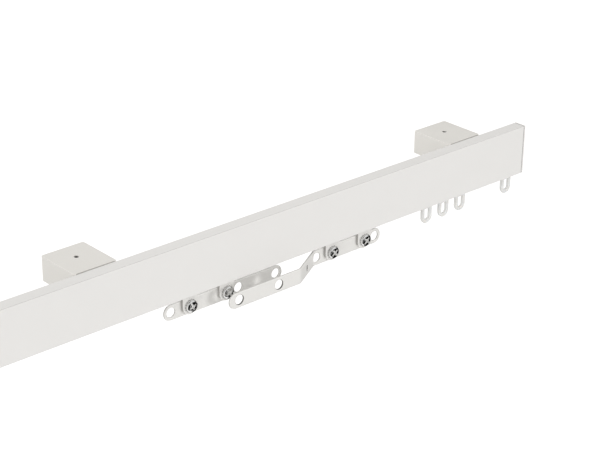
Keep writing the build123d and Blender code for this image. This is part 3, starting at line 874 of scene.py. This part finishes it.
@dataclass
class ArmFasteners:
    """The pan-head screws with their toothed washers, and the nuts behind the arms."""

    head_radius: float = 4.0 * MM
    head_height: float = 2.5 * MM
    foot_share: float = 0.95
    rim_share: float = 0.42
    sides: int = 48
    length: float = 8 * MM
    washer: float = 0.5 * MM
    washer_radius: float = 4.4 * MM
    washer_share: float = 0.96
    washer_teeth: int = 14
    tooth_root: float = 0.84
    shank: float = 1.72 * MM
    shank_sides: int = 32
    point_share: float = 0.8
    point_rise: float = 0.3
    sink: float = 0.1
    thread: float = 0.32 * MM
    pitch: float = 0.7 * MM
    turns: int = 9
    dome_steps: int = 10
    dome_power: float = 0.72
    blade: float = 1.15 * MM
    blade_reach: float = 5.2 * MM
    recess: float = 1.5 * MM
    well_mouth: float = 1.15
    well_foot: float = 0.3
    well_depth: float = 1.25
    well_drop: float = 1.2
    recess_lip: float = 0.3 * MM
    spin_seeds: tuple[int, int] = (1, 2)
    nut_flats: float = 7 * MM
    nut_thickness: float = 3.2 * MM
    nut_hole: float = 2.05 * MM
    nut_chamfer: float = 0.45 * MM
    nut_face: float = 0.49
    nut_clear: float = 1.01

    def screw_tree(self) -> ShapeTree:
        """The tree of one screw, with the face that it clamps at height 0 and its head above.

        Returns:
            The finished tree.
        """
        shape = ShapeTree("pan_head_screw")
        names = ("head_radius", "head_height", "length", "shank", "washer", "washer_radius")
        radius, height, length, shank, washer, tips = shape.sizes(self, *names)
        blade, reach, recess = shape.sizes(self, "blade", "blade_reach", "recess")
        rim = shape.sum_of((height, self.rim_share), (washer, 1 - self.rim_share))
        rise = shape.sum_of((height, 1.0), (rim, -1.0))
        profile: Profile = [
            (0.0, washer),
            (shape.sum_of((radius, self.foot_share)), washer),
            (radius, shape.sum_of((washer, 1.0), (radius, 1 - self.foot_share))),
        ]
        for step in range(self.dome_steps):
            angle = math.pi / 2 * step / self.dome_steps
            profile.append(
                (
                    shape.sum_of((radius, math.cos(angle) ** self.dome_power)),
                    shape.sum_of((rim, 1.0), (rise, math.sin(angle) ** self.dome_power)),
                )
            )
        profile.append((0.0, height))
        head = shape.turned(profile, False, self.sides)
        cube = shape.add("GeometryNodeMeshCube", Size=shape.vector(reach, blade, shape.sum_of((recess, 2.0))))
        top = shape.vector(z=height)
        slots = [shape.moved(cube, top, (0, 0, math.pi / 4 + turn)) for turn in (0, math.pi / 2)]
        well = shape.add(
            "GeometryNodeMeshCone",
            Vertices=self.sides // 2,
            Radius_Top=shape.sum_of((blade, self.well_mouth)),
            Radius_Bottom=shape.sum_of((blade, self.well_foot)),
            Depth=shape.sum_of((recess, self.well_depth)),
        )
        well = shape.moved(well, shape.vector(z=shape.sum_of((height, 1.0), (recess, -self.well_drop))))
        head = shape.cut(head, [*slots, well])
        roots = shape.sum_of((tips, self.tooth_root))
        star = shape.add(
            "GeometryNodeCurveStar", Points=self.washer_teeth, Outer_Radius=tips, Inner_Radius=roots
        )
        ring = shape.slab(star, 0.0, shape.sum_of((washer, self.washer_share)))
        end = shape.sum_of((length, -1.0))
        start = shape.sum_of((washer, 1.0), (shank, self.sink))
        profile = [
            (0.0, end),
            (shape.sum_of((shank, self.point_share)), end),
            (shank, shape.sum_of((length, -1.0), (shank, self.point_rise))),
            (shank, start),
            (0.0, start),
        ]
        core = shape.turned(profile, False, self.shank_sides)
        helix = shape.add(
            "GeometryNodeCurveSpiral",
            Resolution=self.sides // 2,
            Rotations=float(self.turns),
            Start_Radius=shank,
            End_Radius=shank,
            Height=self.turns * self.pitch,
        )
        ridge = shape.add("GeometryNodeCurvePrimitiveCircle", Resolution=3, Radius=self.thread)
        thread = shape.add("GeometryNodeCurveToMesh", Curve=helix, Profile_Curve=ridge, Fill_Caps=True)
        thread = shape.moved(thread, shape.vector(z=shape.sum_of((length, -1.0), (self.pitch, 1.0))))
        shape.close(shape.joined(head, ring, core, thread))
        return shape

    def nut_tree(self) -> ShapeTree:
        """The tree of one hexagon nut, lying on height 0.

        Returns:
            The finished tree.
        """
        shape = ShapeTree("hexagon_nut")
        flats, thickness, hole = shape.sizes(self, "nut_flats", "nut_thickness", "nut_hole")
        corner = shape.sum_of((flats, 0.5 / math.cos(math.pi / 6)))
        face = shape.sum_of((flats, self.nut_face))
        block = shape.add("GeometryNodeMeshCylinder", Vertices=6, Radius=corner, Depth=thickness)
        block = shape.moved(block, shape.vector(z=shape.sum_of((thickness, 0.5))), (0, 0, math.pi / 6))
        clear = shape.sum_of((corner, self.nut_clear))
        edge = self.nut_chamfer
        top = shape.sum_of((thickness, 1.0), (edge, -1.0))
        profile = [(0.0, 0.0), (face, 0.0), (clear, edge), (clear, top), (face, thickness), (0.0, thickness)]
        crown = shape.turned(profile, False, self.sides)
        reach = shape.sum_of((thickness, 4.0))
        sides = self.shank_sides
        bore = shape.add("GeometryNodeMeshCylinder", Vertices=sides, Radius=hole, Depth=reach)
        shape.close(shape.cut(shape.cut(block, [crown], "INTERSECT"), [bore]))
        return shape

    def build(self) -> None:
        """Makes the screws and nuts of both arms."""
        screws, nuts = self.screw_tree(), self.nut_tree()
        for hand, seed in zip(Hand, self.spin_seeds):
            body = f"arm_{hand.value}"
            low, high, (_, _, z) = extent(f"{body}_screws")
            nut_low, nut_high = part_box(f"{body}_nuts")
            front = low[1] + self.head_height
            xs = (low[0] + self.head_radius, high[0] - self.head_radius)
            # Painted highlight: the cross recess of each screw head gets the near-white finish.
            recess = (
                PAINTED_RECESS_HIGHLIGHT,
                lambda normal, centre: low[1] + self.recess_lip < centre.y < front - self.washer
                and min(math.hypot(centre.x - x, centre.z - z) for x in xs) < self.blade_reach / 2,
            )
            screws.stand_in(
                StandIn(f"{body}_screws", f"{body}_pan_screws", CHROME, body, [recess]),
                [Vector((x, front, z)) for x in xs],
                UPRIGHT_TO_FRONT,
                spin_seed=seed,
                spin=math.pi / 2,
                length=high[1] - front,
            )
            nuts.stand_in(
                StandIn(f"{body}_nuts", f"{body}_hex_nuts", ZINC, body),
                [Vector((x, nut_low[1], z)) for x in xs],
                UPRIGHT_TO_WALL,
                nut_thickness=nut_high[1] - nut_low[1],
            )


@dataclass
class WheelSets:
    """The carriers' wheels, turned with a hub and a sunk web, and their axles."""

    radius: float = 3.5 * MM
    width: float = 1.15 * MM
    sides: int = 48
    axle: float = 0.75 * MM
    rim: float = 0.8 * MM
    hub: float = 0.7 * MM
    web: float = 0.3 * MM
    edge: float = 0.2 * MM

    def tree(self) -> ShapeTree:
        """The tree of one wheel, centred on its place, with its axle along local Z.

        Returns:
            The finished tree.
        """
        shape = ShapeTree("carrier_wheel")
        names = ("radius", "width", "axle", "rim", "hub", "web", "edge")
        radius, width, axle, rim, hub, web, edge = shape.sizes(self, *names)
        rim = shape.sum_of((radius, 1.0), (rim, -1.0))
        hub = shape.sum_of((axle, 1.0), (hub, 1.0))
        profile: Profile = []
        for side in (-1.0, 1.0):
            face = shape.sum_of((width, side / 2))
            sunk = shape.sum_of((width, side / 2), (web, -side))
            half: Profile = [
                (axle, face),
                (hub, face),
                (hub, sunk),
                (rim, sunk),
                (rim, face),
                (shape.sum_of((radius, 1.0), (edge, -1.0)), face),
                (radius, shape.sum_of((width, side / 2), (edge, -side))),
            ]
            profile.extend(half if side < 0 else reversed(half))
        shape.close(shape.turned(profile, True, self.sides))
        return shape

    def build(self) -> None:
        """Makes the wheels of all four sets and dresses their axles."""
        tree = self.tree()
        for hand in Hand:
            for place in ("inner", "outer"):
                node = f"wheels_{hand.value}_{place}"
                low, high, centre = extent(node)
                rows = (low[1] + self.width / 2, high[1] - self.width / 2)
                body, name = f"wheelset_{hand.value}_{place}", f"rollers_{hand.value}_{place}"
                spots = [Vector((centre.x, y, centre.z)) for y in rows]
                tree.stand_in(StandIn(node, name, WHEEL_PLASTIC, body), spots, UPRIGHT_TO_FRONT)
                dress_node(f"axle_{hand.value}_{place}", ZINC)


@dataclass
class DrawArms:
    """The two overlapping arms on their carriers."""

    edge: float = 0.7 * MM
    edge_steps: int = 5
    carrier_edge: float = 0.2 * MM
    crank_start: float = 3 * MM
    painted_light_rise: float = 4 * MM
    hole_reach: float = 3.4 * MM
    hole_margin: float = 1.8 * MM
    rim_drop: float = 0.5 * MM
    rim_facing: float = 0.85
    side_facing: float = 0.5
    bevel_facing: float = 0.75
    up_facing: float = 0.3
    end_facing: float = 0.4

    def build(self) -> None:
        """Makes the carriers with painted shade on the tabs' sides, and the arms with bare edges darkened as
        painted shade and upper edges lightened as painted light.
        """
        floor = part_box("rail")[0][2]
        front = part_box("arm_left")[0][1]
        crank_y = front - self.crank_start
        for hand in Hand:
            body = f"arm_{hand.value}"
            low, high, (_, _, arm_z) = extent(body)
            node = f"carrier_{hand.value}"
            # Painted shade on the sides of the carrier tabs below the rail.
            painted_tab_shade = (
                PAINTED_TAB_SHADE,
                lambda normal, centre: abs(normal.x) > self.rim_facing
                and centre.y < front
                and centre.z < floor - self.rim_drop,
            )
            carrier = StandIn(node, f"{node}_moulding", CARRIER_PLASTIC, body, [painted_tab_shade])
            carrier.soften(self.carrier_edge)
            looks: list[tuple[Finish, Picker]] = [
                # Painted shade on the arms' edges: mid grey on the front arm and on left-facing edges, darker
                # on right-facing edges and in holes.
                (PAINTED_ARM_EDGE_SHADE, lambda normal, centre: self.on_edge(normal) and centre.y < crank_y),
                # Painted light: the upper edges of the arms' rear parts are lightened against the shade under
                # the rail.
                (
                    PAINTED_EDGE_LIGHT,
                    lambda normal, centre: normal.z > self.up_facing
                    and centre.z > arm_z + self.painted_light_rise
                    and centre.y > crank_y,
                ),
                # Right-facing edges: bare cut steel, darkened as painted shade.
                (CUT_STEEL_AND_SHADE, lambda normal, centre: self.on_edge(normal) and normal.x > self.end_facing),
                (PAINTED_ARM_EDGE_SHADE, lambda normal, centre: self.on_edge(normal) and normal.x < -self.end_facing),
                # Front arm hole walls: bare punched steel, darkened as painted shade in the holes.
                (
                    PUNCHED_STEEL_AND_HOLE_SHADE,
                    lambda normal, centre: abs(normal.y) < self.bevel_facing
                    and centre.y < crank_y
                    and abs(centre.z - arm_z) < self.hole_reach
                    and low[0] + self.hole_margin < centre.x < high[0] - self.hole_margin,
                ),
            ]
            strip = StandIn(body, f"{body}_strip", ARM_PAINT, body, looks)
            strip.soften(self.edge, self.edge_steps, kept=False)

    def on_edge(self, normal: Vector) -> bool:
        """Tells from a normal whether a face is on a strip's edge, and not on its front or back."""
        return abs(normal.y) < self.side_facing


@dataclass(frozen=True)
class Card:
    """One black card that reflections see, and that takes light from matt surfaces where it shades."""

    direction: Triple
    distance: float
    width: float
    height: float
    shades: bool = False

    def build(self, aim: Vector, name: str) -> Piece:
        """Makes the card, facing what it is for.

        Args:
            aim: The point that it faces.
            name: The card's name.

        Returns:
            The card.
        """
        direction = Vector(self.direction).normalized()
        facing = direction.to_track_quat("Z", "Y").to_matrix().to_4x4()
        place = Matrix.Translation(aim + direction * self.distance) @ facing
        mesh = bpy.data.meshes.new(name)
        signs = [(-0.5, -0.5), (0.5, -0.5), (0.5, 0.5), (-0.5, 0.5)]
        corners = [tuple(place @ Vector((x * self.width, y * self.height, 0))) for x, y in signs]
        mesh.from_pydata(corners, [], [(0, 1, 2, 3)])
        card = set_down(name, mesh)
        card.visible_camera = card.visible_shadow = card.visible_transmission = False
        card.visible_diffuse = self.shades
        return card


@dataclass
class Studio:
    """Floor, light and camera."""

    floor_drop: float = 2.2
    floor_side: float = 60.0
    floor_tone: float = 0.70
    floor_roughness: float = 0.9
    floor_lift: float = 0.52
    ambient: float = 0.81
    ambient_colour: Triple = (1.0, 0.99, 0.975)
    ambient_lean: Triple = (-0.42, 0.0, 0.11)
    ambient_least: float = 0.12
    key_power: float = 54.0
    key_spot: Triple = (2.155, -4.05, 0.0)
    key_side: float = 1.1
    camera_spot: Triple = (-0.5101, -0.77006, 0.44154)
    camera_aim: Triple = (0.1522, -0.0377, -0.00896)
    camera_roll: float = math.radians(0.744)
    lens: float = 104.314
    nearest: float = 0.01
    card_tone: float = 0.01
    card_aim: Triple = (0.13, -0.042, -0.034)
    cards: tuple[Card, ...] = (
        Card((-0.08, -0.92, -0.39), 0.9, 0.75, 0.8),
        Card((0.66, -0.64, -0.39), 0.9, 0.7, 0.66),
        Card((-0.42, -0.15, 0.88), 0.8, 0.8, 0.7),
        Card((0.60, -0.12, -0.79), 0.7, 0.6, 0.4),
        Card((0.95, -0.2, 0.3), 0.9, 0.5, 0.4),
        Card((0.95, -0.28, -0.1), 0.9, 0.46, 0.8, shades=True),
        Card((0.85, 0.42, -0.25), 0.65, 0.55, 0.9),
    )

    def seen(self, work: NodeWork) -> Socket:
        """Tells what is seen from what lights.

        Args:
            work: The tree to add to.

        Returns:
            A socket that is 1 for camera, glossy and transmission rays, and 0 for others.
        """
        path = work.add("ShaderNodeLightPath").node.outputs
        total = path["Is Camera Ray"]
        for name in ("Is Glossy Ray", "Is Transmission Ray"):
            total = work.combine("ShaderNodeMath", "MAXIMUM", total, path[name])
        return total

    def paper(self, name: str, tone: float) -> bpy.types.Material:
        """Makes a matt grey material without a sheen.

        Args:
            name: Its name.
            tone: Its grey, from 0 to 1.

        Returns:
            The material.
        """
        made = bpy.data.materials.new(name)
        made.use_nodes = True
        shader = made.node_tree.nodes["Principled BSDF"]
        NodeWork(made.node_tree).fill(shader, Base_Color=(tone, tone, tone, 1), Specular_IOR_Level=0.0)
        return made

    def build(self) -> None:
        """Sets up the studio: world, floor, lamp, black cards and camera."""
        bpy.context.scene.view_settings.view_transform = "Standard"
        self.world()
        self.floor()
        self.lamp()
        black = self.paper("card_black", self.card_tone)
        for number, card in enumerate(self.cards):
            made = card.build(Vector(self.card_aim), f"card_{number}")
            made.data.materials.append(black)
        self.camera()

    def world(self) -> None:
        """White where it is seen, and where it lights a soft level that leans to the upper left."""
        world = bpy.data.worlds.new("studio")
        bpy.context.scene.world = world
        world.use_nodes = True
        world.node_tree.nodes.clear()
        work = NodeWork(world.node_tree)
        towards = work.add("ShaderNodeTexCoord").node.outputs["Generated"]
        lean = work.combine("ShaderNodeVectorMath", "DOT_PRODUCT", towards, self.ambient_lean)
        level = work.combine("ShaderNodeMath", "ADD", lean.node.outputs["Value"], self.ambient)
        level = work.combine("ShaderNodeMath", "MAXIMUM", level, self.ambient_least)
        light = work.add("ShaderNodeBackground", Color=(*self.ambient_colour, 1), Strength=level)
        white = work.add("ShaderNodeBackground", Color=(1, 1, 1, 1))
        choice = work.combine("ShaderNodeMixShader", None, self.seen(work), light, white)
        work.feed(work.tree.nodes.new("ShaderNodeOutputWorld").inputs["Surface"], choice)

    def floor(self) -> None:
        """A plain pale floor that keeps shadows and is lifted to white where it is seen."""
        half = self.floor_side / 2
        mesh = bpy.data.meshes.new("studio_floor")
        corners = [(-half, -half), (half, -half), (half, half), (-half, half)]
        mesh.from_pydata([(x, y, -self.floor_drop) for x, y in corners], [], [(0, 1, 2, 3)])
        floor = set_down("studio_floor", mesh)
        paper = self.paper("floor_paper", self.floor_tone)
        nodes, work = paper.node_tree.nodes, NodeWork(paper.node_tree)
        shader = work.fill(nodes["Principled BSDF"], Roughness=self.floor_roughness)
        lift = work.combine("ShaderNodeMath", "MULTIPLY", self.seen(work), self.floor_lift)
        glow = work.add("ShaderNodeEmission", Strength=lift)
        both = work.combine("ShaderNodeAddShader", None, shader, glow)
        work.feed(nodes["Material Output"].inputs["Surface"], both)
        mesh.materials.append(paper)

    def lamp(self) -> None:
        """One large soft lamp in front and to the right, level with the track."""
        data = bpy.data.lights.new("key", "AREA")
        data.shape = "SQUARE"
        data.size = self.key_side
        data.energy = self.key_power
        lamp = set_down("key", data)
        lamp.location = self.key_spot
        lamp.rotation_euler = (Vector(self.camera_aim) - lamp.location).to_track_quat("-Z", "Y").to_euler()
        lamp.visible_camera = lamp.visible_glossy = False

    def camera(self) -> None:
        """The photograph's view, from the left, the front and above."""
        data = bpy.data.cameras.new("camera")
        data.lens = self.lens
        data.clip_start = self.nearest
        camera = set_down("camera", data)
        camera.location = self.camera_spot
        aim = (Vector(self.camera_aim) - Vector(self.camera_spot)).to_track_quat("-Z", "Y")
        camera.rotation_euler = (aim.to_matrix() @ Matrix.Rotation(self.camera_roll, 3, "Z")).to_euler()
        bpy.context.scene.camera = camera


def main() -> None:
    """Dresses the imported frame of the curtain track."""
    logging.basicConfig(level=logging.INFO, format="%(name)s %(message)s")
    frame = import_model()
    FRAME_NODES.update(frame["nodes"])
    Studio().build()
    Rail().build()
    WallBrackets().build()
    GrubScrews().build()
    EndStops().build()
    Gliders().build()
    DrawArms().build()
    ArmFasteners().build()
    WheelSets().build()


if __name__ == "__main__":
    main()
